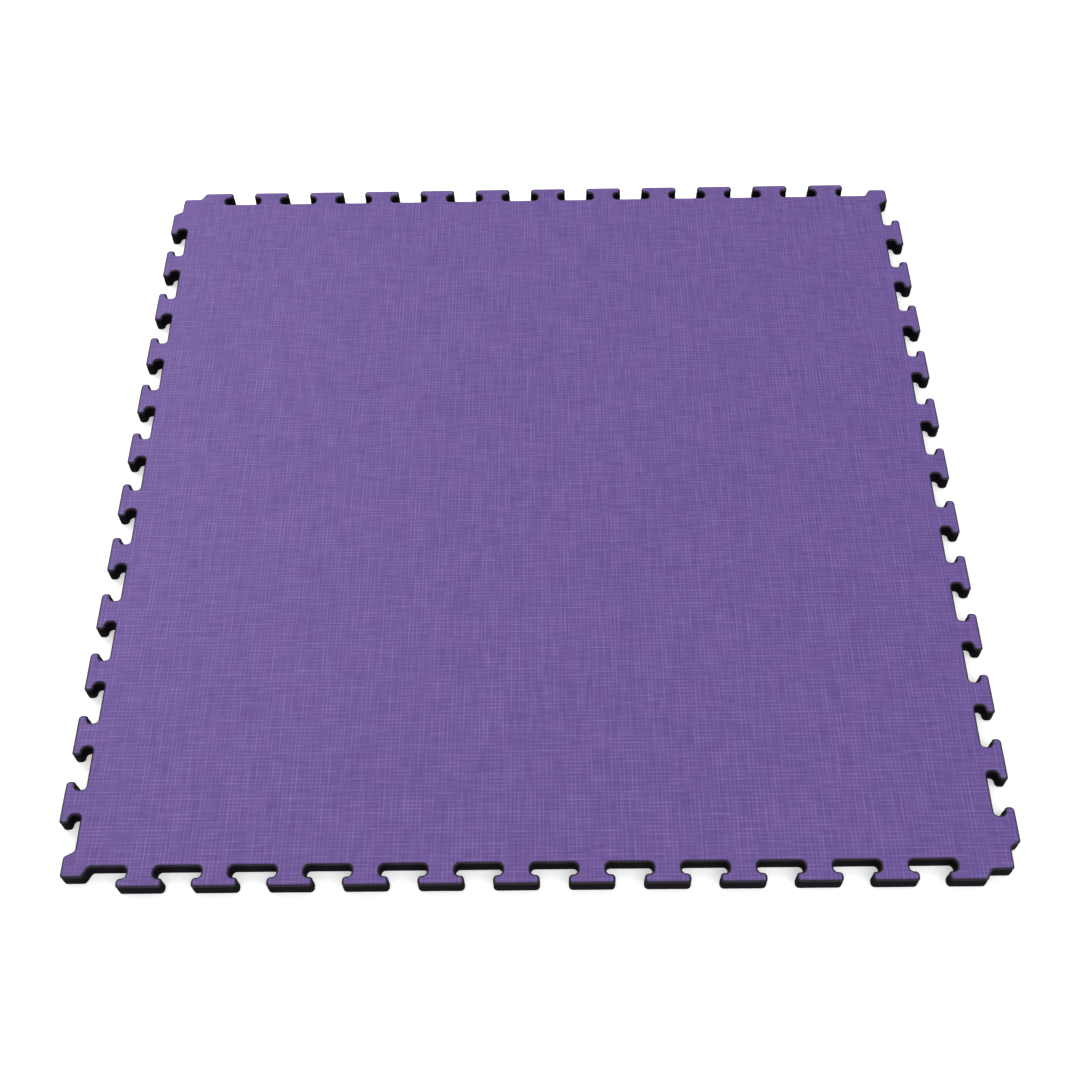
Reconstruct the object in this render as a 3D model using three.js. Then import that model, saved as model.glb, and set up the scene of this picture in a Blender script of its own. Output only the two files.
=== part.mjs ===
// Interlocking foam floor tile: one square mat with a jigsaw edge on all four sides.
// It is two sheets of dark foam under a thin coloured skin, bonded face to face and die-cut
// together, so all three have one outline. Tiles of one size lock to each other side by side.
// Units are millimetres, +Z is up, and the origin is the centre of the underside.

import * as THREE from 'three';

// Driving dimensions.
const SIDE = 1000; // nominal side, which is also the spacing of tiles laid on a floor
const TAB_PITCH = 79.1; // from one tab to the next
const FULL_TABS = 11; // on each side; the last, cut short by the corner, comes on top of these
const TAB_REACH = 11.3; // how far a tab stands out of the nominal side, and a socket goes in
const NECK_WIDTH = 30; // of a tab, where it passes between its neighbours' heads
const CORNER_FLAT = 24; // straight stretch beside each corner
const CORNER_RAMP = 6; // width of the slope from that stretch into the first socket
const FILLET = 4.5; // radius at every corner of the jigsaw line
const FILLET_STEPS = 2; // straight steps in each fillet
const THICKNESS = 20; // of the whole tile
const TOP_SKIN = 2; // thickness of the coloured skin that is walked on
const BASE_SHEET = 9; // thickness of the sheet on the floor
const CORE_SHEET = THICKNESS - BASE_SHEET - TOP_SKIN;

// The tabs are placed so that a side turned end for end has a socket for each of its tabs.
const HALF_NECK = NECK_WIDTH / 2;
const HALF_HEAD = TAB_PITCH / 2 - HALF_NECK;
const FIRST_TAB = (SIDE - (FULL_TABS - 0.5) * TAB_PITCH) / 2;

// From the floor up.
const layers = [
  { name: 'base_layer', thickness: BASE_SHEET, color: 0x1b171f, roughness: 0.92 },
  { name: 'core_layer', thickness: CORE_SHEET, color: 0x17131b, roughness: 0.95 },
  { name: 'top_layer', thickness: TOP_SKIN, color: 0x73589f, roughness: 0.8 },
];

// The left flank of a tab, as [distance along the side, distance out of the nominal side].
function leftFlank(centre) {
  return [
    [centre - HALF_NECK, -TAB_REACH],
    [centre - HALF_NECK, 0],
    [centre - HALF_HEAD, 0],
    [centre - HALF_HEAD, TAB_REACH],
  ];
}

function rightFlank(centre) {
  return leftFlank(-centre).reverse().map(([along, out]) => [-along, out]);
}

// One side from corner to corner, without the corners themselves. It starts with a socket
// and ends with the short tab, whose far flank is the slope beside the corner.
function sideLine() {
  const line = [
    [CORNER_FLAT, 0],
    [CORNER_FLAT + CORNER_RAMP, -TAB_REACH],
  ];
  for (let tab = 0; tab < FULL_TABS; tab++) {
    const centre = FIRST_TAB + tab * TAB_PITCH;
    line.push(...leftFlank(centre), ...rightFlank(centre));
  }
  line.push(
    ...leftFlank(FIRST_TAB + FULL_TABS * TAB_PITCH),
    [SIDE - CORNER_FLAT - CORNER_RAMP, TAB_REACH],
    [SIDE - CORNER_FLAT, 0],
  );
  return line;
}

// The whole outline, anticlockwise from above. Neighbouring sides run opposite ways, so the
// front left and back right corners have sockets beside them, and the other two have tabs.
// Each side fits the opposite side of the next tile.
function outline() {
  const half = SIDE / 2;
  const line = sideLine();
  const back = [...line].reverse();
  const front = line.map(([along, out]) => [along - half, -half - out]);
  const right = back.map(([along, out]) => [half + out, half - along]);
  return [
    [-half, -half], ...front,
    [half, -half], ...right,
    [half, half], ...front.map(([x, y]) => [-x, -y]),
    [-half, half], ...right.map(([x, y]) => [-x, -y]),
  ].map(([x, y]) => new THREE.Vector2(x, y));
}

// Adds the rounded corner at b, on the way from a to c, to a path.
function addFillet(path, a, b, c) {
  const into = b.clone().sub(a).normalize();
  const away = c.clone().sub(b).normalize();
  const turn = Math.atan2(into.cross(away), into.dot(away));
  const inset = FILLET * Math.tan(Math.abs(turn) / 2);
  const side = Math.sign(turn);
  const start = b.clone().addScaledVector(into, -inset);
  const centre = new THREE.Vector2(-into.y, into.x).multiplyScalar(side * FILLET).add(start);
  const angle = Math.atan2(start.y - centre.y, start.x - centre.x);
  path.absarc(centre.x, centre.y, FILLET, angle, angle + turn, side < 0);
}

function tileShape() {
  const corners = outline();
  const shape = new THREE.Shape();
  corners.forEach((corner, i) => {
    addFillet(shape, corners.at(i - 1), corner, corners[(i + 1) % corners.length]);
  });
  shape.closePath();
  return shape;
}

function foamLayer(shape, { name, thickness, color, roughness }) {
  const geometry = new THREE.ExtrudeGeometry(shape, {
    depth: thickness,
    bevelEnabled: false,
    curveSegments: FILLET_STEPS / 2, // an arc takes two steps for each of these
  });
  const material = new THREE.MeshStandardMaterial({ color, roughness, metalness: 0 });
  const layer = new THREE.Mesh(geometry, material);
  layer.name = name;
  return layer;
}

function buildTile() {
  const tile = new THREE.Group();
  const shape = tileShape();
  let height = 0;
  for (const sheet of layers) {
    const layer = foamLayer(shape, sheet);
    layer.position.z = height;
    height += sheet.thickness;
    tile.add(layer);
  }
  return tile;
}

export default buildTile();
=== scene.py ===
"""Interlocking foam floor tile: the visible layers, floor, lights and camera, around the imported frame.

Each foam layer of the frame is replaced by a finer mesh of the same outline and height, with the
edges rolled as a cutting die leaves them and a surface that is not quite flat. All lengths are in
metres, in the frame's axes.
"""

import math

import bpy
import numpy as np
from mathutils import Matrix, Vector, noise
from mathutils.geometry import delaunay_2d_cdt


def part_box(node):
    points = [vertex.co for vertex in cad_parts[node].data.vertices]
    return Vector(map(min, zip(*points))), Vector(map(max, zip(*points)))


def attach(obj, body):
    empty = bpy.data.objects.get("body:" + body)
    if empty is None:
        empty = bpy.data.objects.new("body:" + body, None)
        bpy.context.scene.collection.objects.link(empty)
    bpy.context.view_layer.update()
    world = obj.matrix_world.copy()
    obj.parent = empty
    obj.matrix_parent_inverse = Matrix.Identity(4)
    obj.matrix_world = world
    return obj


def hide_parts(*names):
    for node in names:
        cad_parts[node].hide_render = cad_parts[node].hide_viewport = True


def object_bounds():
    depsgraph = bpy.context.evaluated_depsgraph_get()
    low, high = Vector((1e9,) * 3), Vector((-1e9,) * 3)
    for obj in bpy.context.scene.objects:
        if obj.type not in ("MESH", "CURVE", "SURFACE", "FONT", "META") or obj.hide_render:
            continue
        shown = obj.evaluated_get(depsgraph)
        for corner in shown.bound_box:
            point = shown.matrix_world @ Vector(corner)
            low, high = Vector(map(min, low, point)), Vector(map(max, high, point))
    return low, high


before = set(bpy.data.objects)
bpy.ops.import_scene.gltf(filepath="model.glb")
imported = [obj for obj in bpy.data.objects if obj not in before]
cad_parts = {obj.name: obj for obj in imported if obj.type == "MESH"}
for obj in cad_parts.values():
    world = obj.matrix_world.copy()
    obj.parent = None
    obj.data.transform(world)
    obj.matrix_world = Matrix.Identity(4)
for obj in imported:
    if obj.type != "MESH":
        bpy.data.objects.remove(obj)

MM = 0.001
CAD_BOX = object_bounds()

# The jigsaw edge, with the same driving dimensions as the frame's.
TAB_PITCH = 79.1 * MM
FULL_TABS = 11
TAB_REACH = 11.3 * MM
NECK_WIDTH = 30 * MM
CORNER_FLAT = 24 * MM
CORNER_RAMP = 6 * MM
FILLET = 4.5 * MM
SIDE = CAD_BOX[1].x - CAD_BOX[0].x - 2 * TAB_REACH
FOOT, HEAD = CAD_BOX[0].z, CAD_BOX[1].z

# How fine the meshes are.
FILLET_STEPS = 6
ROLL_STEPS = 6
WALL_STEPS = 4
RING_GAP = 0.1 * MM         # rings of points are never closer than this
EDGE_STEP = 9 * MM
FACE_STEP = 7 * MM

# How the foam departs from the plain frame. The cutting die rolls the upper edge over, through the
# skin and into the core, and the floor presses a smaller roll along the lower edge.
TOP_ROLL = (2.6 * MM, 2.8 * MM)     # how far in from the cut, and how far down the wall
BOTTOM_ROLL = (0.8 * MM, 1.0 * MM)  # how far in from the cut, and how far up the wall
ROLL_POWER = 1.4            # 2 would make the roll a quarter ellipse, and 1 a chamfer
FLAT_MARGIN = 1.0 * MM      # from the end of the roll to a ring where the face is already flat
INSET_NAME = "inset"        # the attribute that holds each point's distance in from the cut
BOND_GROOVE = 0.15 * MM     # the bonded edges pull in this far
BOND_LIP = 0.3 * MM         # height of the edge that pulls in
WALL_DISH = 0.35 * MM       # the cut wall of the core is hollow by this much at mid height
SWELL_HEIGHT = 0.35 * MM    # slow rise and fall of the upper face
SWELL_LENGTH = 180 * MM
SWELL_SLICE = 0.37          # the height in the noise, in metres, that the swell is taken from
RIPPLE_HEIGHT = 0.10 * MM   # quicker rise and fall
RIPPLE_LENGTH = 34 * MM
RIPPLE_SLICE = 0.11         # the same for the ripple
CUT_WOBBLE = 0.12 * MM      # how far the cut line strays sideways
CUT_LENGTH = 26 * MM
CUT_STEEPNESS = 3           # the stray changes this much faster down the wall than along it
CUT_SHIFT = Vector((7.3, 1.9, 4.1))  # sets the stray in y apart from the stray in x

FLOOR_GAP = 0.2 * MM         # the floor lies this far under the tile, so that they don't fight

# The woven emboss.
WEAVE_PITCH = 2.2 * MM      # from one thread to the next
WARP_LENGTH = 45 * MM       # typical length over which a thread swells and thins again
WEFT_LENGTH = 30 * MM
WEAVE_DEPTH = 0.22 * MM
THREAD_SPREAD = 7.37        # how far apart in the noise neighbouring threads are
THREAD_SHARPNESS = 0.8      # under 1 makes the top of a thread broad
FINE_THREAD = 0.5           # strength of every second thread, beside a stout one's 1
SLUB_LIFT = 0.5             # how much of a thread's height comes from its slubs
CROSS_LIFT = 0.15           # how much it rises or sinks where it crosses another
BASE_LIFT = 0.4
HIGHLIGHT_SHARE = 0.6            # of each thread's painted highlight, lighter along its raised middle


# ---------------------------------------------------------------- outline

def left_flank(centre):
    """The left flank of a tab as (distance along the side, distance out of the nominal side)."""
    half_neck = NECK_WIDTH / 2
    half_head = TAB_PITCH / 2 - half_neck
    return [
        (centre - half_neck, -TAB_REACH),
        (centre - half_neck, 0),
        (centre - half_head, 0),
        (centre - half_head, TAB_REACH),
    ]


def side_line():
    """One side from corner to corner, without the corners: a socket first, the cut-short tab last."""
    first_tab = (SIDE - (FULL_TABS - 0.5) * TAB_PITCH) / 2
    line = [(CORNER_FLAT, 0), (CORNER_FLAT + CORNER_RAMP, -TAB_REACH)]
    for tab in range(FULL_TABS):
        centre = first_tab + tab * TAB_PITCH
        line += left_flank(centre)
        line += [(2 * centre - along, out) for along, out in reversed(left_flank(centre))]
    line += left_flank(first_tab + FULL_TABS * TAB_PITCH)
    line += [(SIDE - CORNER_FLAT - CORNER_RAMP, TAB_REACH), (SIDE - CORNER_FLAT, 0)]
    return line


def outline_corners():
    """The sharp corners of the whole outline, anticlockwise from above."""
    half = SIDE / 2
    line = side_line()
    front = [(-half, -half)] + [(along - half, -half - out) for along, out in line]
    right = [(half, -half)] + [(half + out, half - along) for along, out in reversed(line)]
    near = front + right
    return np.array(near + [(-x, -y) for x, y in near])


def smooth_outline():
    """Points along the filleted outline, and the outward direction at each."""
    corners = outline_corners()
    points, normals = [], []
    for a, b, c in zip(np.roll(corners, 1, 0), corners, np.roll(corners, -1, 0)):
        into = (b - a) / np.linalg.norm(b - a)
        away = (c - b) / np.linalg.norm(c - b)
        turn = math.atan2(into[0] * away[1] - into[1] * away[0], into @ away)
        side = math.copysign(1, turn)
        start = b - into * FILLET * math.tan(abs(turn) / 2)
        centre = start + side * FILLET * np.array([-into[1], into[0]])
        first = math.atan2(*(start - centre)[::-1])
        if points:
            run = start - points[-1]
            steps = int(np.linalg.norm(run) // EDGE_STEP) + 1
            last = points[-1]
            for k in range(1, steps):
                points.append(last + run * k / steps)
                normals.append(normals[-1])
        for k in range(FILLET_STEPS + 1):
            angle = first + turn * k / FILLET_STEPS
            ray = np.array([math.cos(angle), math.sin(angle)])
            points.append(centre + FILLET * ray)
            normals.append(side * ray)
    return np.array(points), np.array(normals)


# ---------------------------------------------------------------- foam layers

def rolled_inset(depth, roll):
    """How far a rolled edge stands in from the cut, at this distance from its face."""
    inward, reach = roll
    left = max(0.0, 1 - depth / reach)
    return inward * (1 - (1 - left ** ROLL_POWER) ** (1 / ROLL_POWER))


def roll_depths(roll):
    """Distances from the face at which a rolled edge takes a ring of points."""
    return {roll[1] * (1 - math.sin(math.pi / 2 * k / ROLL_STEPS)) for k in range(ROLL_STEPS + 1)}


def wall_heights(low, high):
    """The heights of the rings around the layer from low to high."""
    heights = {HEAD - depth for depth in roll_depths(TOP_ROLL)}
    heights |= {FOOT + depth for depth in roll_depths(BOTTOM_ROLL)}
    heights |= {low + (high - low) * k / WALL_STEPS for k in range(WALL_STEPS)}
    heights |= {low + BOND_LIP, high - BOND_LIP}
    kept = [low]
    for z in sorted(heights):
        if z - kept[-1] > RING_GAP and high - z > RING_GAP:
            kept.append(z)
    return kept + [high]


def wall_profile(low, high):
    """(inset, height) of each ring around the layer from low to high, from the bottom up."""
    is_core = low > FOOT and high < HEAD
    bonds = [z for z in (low, high) if FOOT < z < HEAD]
    profile = []
    for z in wall_heights(low, high):
        inset = rolled_inset(HEAD - z, TOP_ROLL) + rolled_inset(z - FOOT, BOTTOM_ROLL)
        if is_core:
            inset += WALL_DISH * math.sin(math.pi * (z - low) / (high - low))
        for bond in bonds:
            inset += BOND_GROOVE * max(0.0, 1 - abs(z - bond) / BOND_LIP)
        profile.append((inset, z))
    if low == FOOT:
        profile.insert(0, (BOTTOM_ROLL[0] + FLAT_MARGIN, low))
    if high == HEAD:
        profile.append((TOP_ROLL[0] + FLAT_MARGIN, high))
    return profile


def swell(x, y):
    """How far the upper face stands off its nominal plane."""
    slow = noise.noise(Vector((x, y, SWELL_SLICE)) / SWELL_LENGTH)
    quick = noise.noise(Vector((x, y, RIPPLE_SLICE)) / RIPPLE_LENGTH)
    return slow * SWELL_HEIGHT + quick * RIPPLE_HEIGHT


def layer_mesh(name, outline, profile, fine_top, fine_bottom):
    """A closed mesh: rings of the outline at each (inset, height) of the profile, bottom to top, and
    a flat triangulated face on each end, with inner points where that face shows."""
    points, normals = outline
    count = len(points)
    rings = [np.column_stack([points - normals * inset, np.full(count, z)]) for inset, z in profile]
    vertices = [tuple(v) for ring in rings for v in ring]
    insets = [inset for inset, z in profile for _ in range(count)]
    faces = []
    for level in range(len(rings) - 1):
        base = level * count
        for i in range(count):
            j = (i + 1) % count
            faces.append((base + i, base + j, base + count + j, base + count + i))
    for ring, start, fine, up in (
        (rings[0], 0, fine_bottom, False),
        (rings[-1], (len(rings) - 1) * count, fine_top, True),
    ):
        edge_inset = insets[start]
        inner = inner_points(ring) if fine else []
        flat = [Vector(v[:2]) for v in ring] + inner
        border = list(range(count))
        made, _, triangles, origin, _, _ = delaunay_2d_cdt(flat, [], [border], 1, 1e-7)
        place = {}
        for new, olds in enumerate(origin):
            old = olds[0]
            if old < count:
                place[new] = start + old
            else:
                place[new] = len(vertices)
                vertices.append((made[new].x, made[new].y, ring[0][2]))
                insets.append(edge_inset)
        for triangle in triangles:
            face = [place[k] for k in triangle]
            faces.append(tuple(face if up else reversed(face)))
    mesh = bpy.data.meshes.new(name)
    mesh.from_pydata(vertices, [], faces)
    mesh.attributes.new(INSET_NAME, "FLOAT", "POINT").data.foreach_set("value", insets)
    mesh.validate()
    mesh.shade_smooth()
    return mesh


def inner_points(ring):
    """A square grid of points inside the straight part of a face, clear of its jigsaw edge."""
    reach = SIDE / 2 - TAB_REACH - 2 * TOP_ROLL[0]
    steps = round(2 * reach / FACE_STEP)
    line = np.linspace(-reach, reach, steps + 1)
    return [Vector((x, y)) for y in line for x in line]


def soften(mesh):
    """Moves the points as foam would sit: the upper face swells, and the cut line wanders a little."""
    for vertex in mesh.vertices:
        x, y, z = vertex.co
        share = (z - FOOT) / (HEAD - FOOT)
        vertex.co.z = z + share * swell(x, y)
        if max(abs(x), abs(y)) > SIDE / 2 - 2 * TAB_REACH:
            at = Vector((x, y, CUT_STEEPNESS * z)) / CUT_LENGTH
            vertex.co.x += CUT_WOBBLE * noise.noise(at)
            vertex.co.y += CUT_WOBBLE * noise.noise(at + CUT_SHIFT)


def foam_layer(node, outline, material):
    """The fine mesh that stands for one layer of the frame."""
    low, high = (corner.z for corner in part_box(node))
    mesh = layer_mesh(f"{node}_foam", outline, wall_profile(low, high), high == HEAD, low == FOOT)
    soften(mesh)
    mesh.materials.append(material)
    piece = bpy.data.objects.new(f"{node}_foam", mesh)
    bpy.context.scene.collection.objects.link(piece)
    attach(piece, "root")
    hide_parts(node)
    return piece


# ---------------------------------------------------------------- materials

class Graph:
    """A material's node tree, with inputs given as numbers, tuples or other nodes' outputs."""

    def __init__(self, name):
        self.material = bpy.data.materials.new(name)
        self.material.use_nodes = True
        self.nodes = self.material.node_tree.nodes
        self.links = self.material.node_tree.links
        self.shader = self.nodes["Principled BSDF"]

    def feed(self, socket, value):
        if isinstance(value, bpy.types.NodeSocket):
            self.links.new(value, socket)
        else:
            socket.default_value = value

    def add(self, kind, inputs=(), output=0, **settings):
        node = self.nodes.new(kind)
        for key, value in settings.items():
            setattr(node, key, value)
        for key, value in dict(inputs).items():
            self.feed(node.inputs[key], value)
        return node.outputs[output]

    def math(self, operation, *values):
        return self.add("ShaderNodeMath", enumerate(values), operation=operation)

    def position(self):
        return self.add("ShaderNodeTexCoord", output="Object")

    def split(self, vector):
        """The three components of a vector, each as an output."""
        return self.add("ShaderNodeSeparateXYZ", {0: vector}).node.outputs

    def noise(self, vector, scale, detail=2.0):
        inputs = {"Vector": vector, "Scale": scale, "Detail": detail}
        return self.add("ShaderNodeTexNoise", inputs)

    def remap(self, value, low, high, to_low=0.0, to_high=1.0):
        inputs = {0: value, 1: low, 2: high, 3: to_low, 4: to_high}
        return self.add("ShaderNodeMapRange", inputs)

    def mix(self, share, a, b):
        inputs = {0: share, 6: a, 7: b}
        return self.add("ShaderNodeMix", inputs, output=2, data_type="RGBA")


def thread_strength(graph, across, along, length):
    """How strong the thread nearest to across is, up to 1. Every second thread is stout."""
    thread = graph.math("ROUND", across)
    spread = graph.math("MULTIPLY", thread, THREAD_SPREAD)
    place = graph.math("MULTIPLY", along, WEAVE_PITCH / length)
    vector = graph.add("ShaderNodeCombineXYZ", {0: spread, 1: place})
    slub = graph.remap(graph.noise(vector, 1.0, detail=1.0), 0.3, 0.75, 0.2, 1.0)
    stout = graph.math("COSINE", graph.math("MULTIPLY", thread, math.pi))
    half = (1 - FINE_THREAD) / 2
    return graph.math("MULTIPLY", slub, graph.math("MULTIPLY_ADD", stout, half, 1 - half))


def thread_profile(graph, wave):
    """From 0 between threads to 1 along the middle of each."""
    return graph.math("POWER", graph.math("ABSOLUTE", wave), THREAD_SHARPNESS)


def weave(graph, x, y):
    """(height, highlight) of the slubby plain weave that the emboss copies. The height is from 0 to 1,
    and the highlight, painted light along the raised middle of each thread and none in the hollows
    between, which a mix clamps, can pass 1 where two strong threads cross."""
    u = graph.math("DIVIDE", x, WEAVE_PITCH)
    v = graph.math("DIVIDE", y, WEAVE_PITCH)
    wave_u = graph.math("COSINE", graph.math("MULTIPLY", u, math.pi))
    wave_v = graph.math("COSINE", graph.math("MULTIPLY", v, math.pi))
    warp, weft = thread_profile(graph, wave_u), thread_profile(graph, wave_v)
    warp_slub = thread_strength(graph, u, v, WARP_LENGTH)
    weft_slub = thread_strength(graph, v, u, WEFT_LENGTH)
    over = graph.math("MULTIPLY", wave_u, wave_v)
    warp_base = graph.math("MULTIPLY_ADD", over, CROSS_LIFT, BASE_LIFT)
    weft_base = graph.math("MULTIPLY_ADD", over, -CROSS_LIFT, BASE_LIFT)
    warp_lift = graph.math("MULTIPLY_ADD", warp_slub, SLUB_LIFT, warp_base)
    weft_lift = graph.math("MULTIPLY_ADD", weft_slub, SLUB_LIFT, weft_base)
    warp_height = graph.math("MULTIPLY", warp, warp_lift)
    weft_height = graph.math("MULTIPLY", weft, weft_lift)
    height = graph.math("MAXIMUM", warp_height, weft_height)
    # painted highlight: each thread lighter along its raised middle, more so where it is stout or
    # slubby, leaving the hollows darker
    warp_highlight = graph.math("MULTIPLY", warp, warp_slub)
    weft_highlight = graph.math("MULTIPLY", weft, weft_slub)
    return height, graph.math("MULTIPLY", graph.math("ADD", warp_highlight, weft_highlight), HIGHLIGHT_SHARE)


def embossed_foam(name, shaded_valleys, lit_thread_top, cut, roughness, fade):
    """Foam with the weave pressed into its face, painted lighter on the thread tops and darker in the
    hollows as painted highlight and painted shade, and fading over the rolled edge to a darker colour:
    painted shade on the purple skin's upper roll, the plain cut colour on the dark underside's lower
    roll.

    fade is the two distances in from the cut where the face starts to show and where it is all there.
    """
    graph = Graph(name)
    position = graph.position()
    x, y, _ = graph.split(position)
    height, thread_highlight = weave(graph, x, y)
    grain = graph.math("SUBTRACT", graph.noise(position, 1400.0), 0.5)
    patches = graph.noise(position, 28.0, detail=3.0)
    inset = graph.add("ShaderNodeAttribute", output="Fac", attribute_name=INSET_NAME)
    # 1 on the flat face and 0 over the rolled edge: the mask of the darker edge colour, painted shade on
    # the purple skin
    flat = graph.remap(inset, *fade)

    # painted shade: the colour of the hollows between threads, bluer or redder in slow patches
    shaded_valley = graph.mix(graph.remap(patches, 0.35, 0.65), *shaded_valleys)
    # painted highlight: the raised thread tops lighter than the hollows, with a fine random grain
    woven = graph.mix(graph.math("MULTIPLY_ADD", grain, 0.25, thread_highlight), shaded_valley, lit_thread_top)
    # over the rolled edge the colour turns to the darker edge colour: on the purple skin a painted
    # shade, on the dark underside the plain cut colour
    graph.feed(graph.shader.inputs["Base Color"], graph.mix(flat, cut, woven))
    graph.feed(graph.shader.inputs["Roughness"], graph.math("MULTIPLY_ADD", height, -0.1, roughness))

    relief = graph.math("MULTIPLY", graph.math("MULTIPLY_ADD", grain, 0.3, height), flat)
    bump = graph.add("ShaderNodeBump", {"Strength": 1.0, "Distance": WEAVE_DEPTH, "Height": relief})
    graph.feed(graph.shader.inputs["Normal"], bump)
    return graph


def top_foam():
    """The purple skin: bluer and redder in slow patches, with painted shade in its hollows and painted
    highlight on its thread tops, and darkened to near-black over the rolled edge as painted shade.
    """
    graph = embossed_foam(
        "purple_foam",
        # painted shade in the hollows and painted highlight on the thread tops
        shaded_valleys=((0.072, 0.036, 0.198, 1.0), (0.080, 0.036, 0.193, 1.0)),
        lit_thread_top=(0.212, 0.136, 0.390, 1.0),
        # painted shade: the purple turns near-black over the rolled edge
        cut=(0.008, 0.005, 0.012, 1.0),
        roughness=0.62,
        fade=(1.9 * MM, 3.0 * MM),
    )
    graph.shader.inputs["Specular IOR Level"].default_value = 0.35
    return graph.material


def cut_foam():
    """The die-cut wall of the dark foam: matt, with fine closed cells and faint knife marks."""
    graph = Graph("dark_cut_foam")
    position = graph.position()
    cells = graph.add("ShaderNodeTexVoronoi", {"Vector": position, "Scale": 1600.0})
    stretch = graph.add("ShaderNodeMapping", {"Vector": position, "Scale": (1.0, 1.0, 0.04)})
    knife = graph.noise(stretch, 900.0)
    patches = graph.remap(graph.noise(position, 60.0, detail=3.0), 0.3, 0.7)
    dark, pale = (0.003, 0.0022, 0.004, 1.0), (0.006, 0.0045, 0.008, 1.0)
    graph.feed(graph.shader.inputs["Base Color"], graph.mix(patches, dark, pale))
    graph.feed(graph.shader.inputs["Roughness"], graph.remap(cells, 0.0, 0.6, 0.95, 0.8))
    relief = graph.math("MULTIPLY_ADD", knife, 0.6, cells)
    bump = graph.add("ShaderNodeBump", {"Strength": 0.6, "Distance": 0.15 * MM, "Height": relief})
    graph.feed(graph.shader.inputs["Normal"], bump)
    graph.shader.inputs["Specular IOR Level"].default_value = 0.03
    return graph.material


def bottom_foam():
    """The dark underside, with the same weave pressed into it, and the same painted shade in its hollows
    and painted highlight on its thread tops.
    """
    graph = embossed_foam(
        "dark_embossed_foam",
        # painted shade in the hollows and painted highlight on the thread tops
        shaded_valleys=((0.008, 0.006, 0.010, 1.0), (0.010, 0.0075, 0.012, 1.0)),
        lit_thread_top=(0.026, 0.021, 0.030, 1.0),
        cut=(0.0045, 0.0035, 0.006, 1.0),
        roughness=0.85,
        fade=(0.5 * MM, 1.2 * MM),
    )
    graph.shader.inputs["Specular IOR Level"].default_value = 0.03
    return graph.material


def floor_paint():
    """A white floor lit softly from within, as a light table is, so that its shadows stay pale."""
    graph = Graph("studio_floor")
    speckle = graph.noise(graph.position(), 3.0)
    white = graph.mix(speckle, (0.86, 0.86, 0.87, 1.0), (0.88, 0.88, 0.89, 1.0))
    graph.feed(graph.shader.inputs["Base Color"], white)
    graph.shader.inputs["Roughness"].default_value = 0.7
    graph.shader.inputs["Specular IOR Level"].default_value = 0.1
    graph.shader.inputs["Emission Color"].default_value = (1.0, 1.0, 1.0, 1.0)
    graph.shader.inputs["Emission Strength"].default_value = 0.4
    return graph.material


# ---------------------------------------------------------------- tile

def build_tile():
    outline = smooth_outline()
    foam_layer("base_layer", outline, bottom_foam())
    foam_layer("core_layer", outline, cut_foam())
    foam_layer("top_layer", outline, top_foam())


# ---------------------------------------------------------------- studio

def build_floor():
    size = 15.0
    height = FOOT - FLOOR_GAP
    corners = [(-size, -size), (size, -size), (size, size), (-size, size)]
    mesh = bpy.data.meshes.new("floor")
    mesh.from_pydata([(x, y, height) for x, y in corners], [], [(0, 1, 2, 3)])
    mesh.materials.append(floor_paint())
    floor = bpy.data.objects.new("floor", mesh)
    bpy.context.scene.collection.objects.link(floor)


def area_light(name, place, size, power):
    data = bpy.data.lights.new(name, "AREA")
    data.shape = "DISK"
    data.size = size
    data.energy = power
    lamp = bpy.data.objects.new(name, data)
    lamp.location = place
    lamp.rotation_euler = (-Vector(place)).to_track_quat("-Z", "Y").to_euler()
    bpy.context.scene.collection.objects.link(lamp)


def build_lights():
    world = bpy.data.worlds.new("studio")
    bpy.context.scene.world = world
    world.use_nodes = True
    background = world.node_tree.nodes["Background"]
    background.inputs["Color"].default_value = (1.0, 1.0, 1.0, 1.0)
    background.inputs["Strength"].default_value = 0.78
    area_light("key", (-1.6, 1.3, 2.2), 1.6, 36)
    area_light("fill", (1.8, -1.2, 2.6), 2.4, 25)


def build_camera():
    """The viewpoint is 1.45 m up and a metre back from the tile's centre, looking down at it."""
    data = bpy.data.cameras.new("camera")
    data.sensor_width = 36.0
    data.lens = 46.97
    camera = bpy.data.objects.new("camera", data)
    eye = Vector((0.0260, -1.0001, 1.4458))
    down, aside, tilt = math.radians(57.34), math.radians(1.225), math.radians(-1.708)
    turn = Matrix.Rotation(aside, 4, "Z") @ Matrix.Rotation(math.pi / 2 - down, 4, "X")
    camera.matrix_world = Matrix.Translation(eye) @ turn @ Matrix.Rotation(tilt, 4, "Z")
    bpy.context.scene.collection.objects.link(camera)
    bpy.context.scene.camera = camera


def set_exposure():
    view = bpy.context.scene.view_settings
    view.view_transform = "Standard"
    view.look = "None"


build_camera()
build_tile()
build_floor()
build_lights()
set_exposure()
